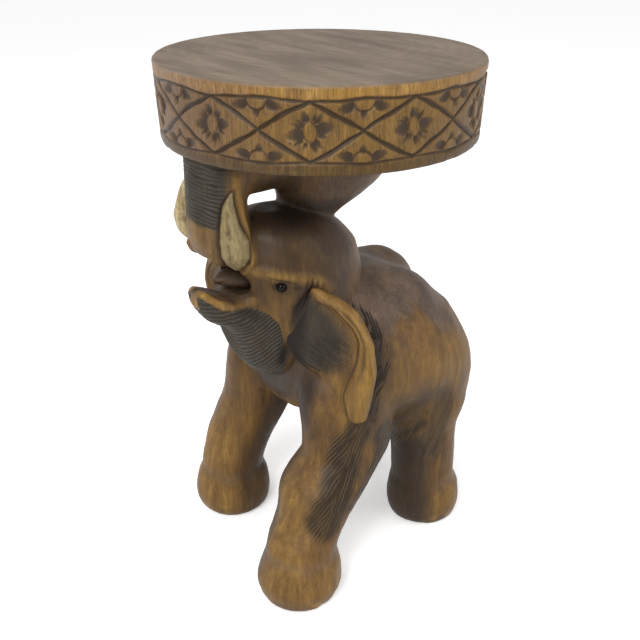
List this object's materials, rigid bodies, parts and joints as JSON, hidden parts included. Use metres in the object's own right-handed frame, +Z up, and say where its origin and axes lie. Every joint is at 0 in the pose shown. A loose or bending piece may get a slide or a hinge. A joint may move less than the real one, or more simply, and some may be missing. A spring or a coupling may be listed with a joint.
{
  "type": "carved elephant stool",
  "caption": "Low carved wooden stool: a standing elephant holds a round seat with a carved rim on its raised trunk and crown.",
  "frame": {"origin": "on the floor, on the axis of the round seat", "axes": "+Z up along the seat's axis, the elephant faces -Y, its left side is +X"},
  "size_m": [0.2798, 0.2798, 0.46],
  "materials": {
    "seat_wood": "waxed, honey brown on the rim and dark grey brown on top",
    "body_wood": "waxed satin, golden brown with dark upper back and scorched strokes",
    "head_wood": "waxed satin, mottled brown with scorched grooves",
    "ear_wood": "waxed satin, golden rolled rim and scorched hatching",
    "tusk_wood": "pale, aged, with dark streaks",
    "eye_bead": "polished black",
    "dowel_wood": "plain turned hardwood"
  },
  "bodies": {
    "root": {"seat": "seat_wood", "body": "body_wood", "head": "head_wood", "left_ear": "ear_wood", "right_ear": "ear_wood", "left_tusk": "tusk_wood", "right_tusk": "tusk_wood", "left_eye": "eye_bead", "right_eye": "eye_bead", "neck_dowels": "dowel_wood", "seat_dowels": "dowel_wood"}
  },
  "joints": []
}
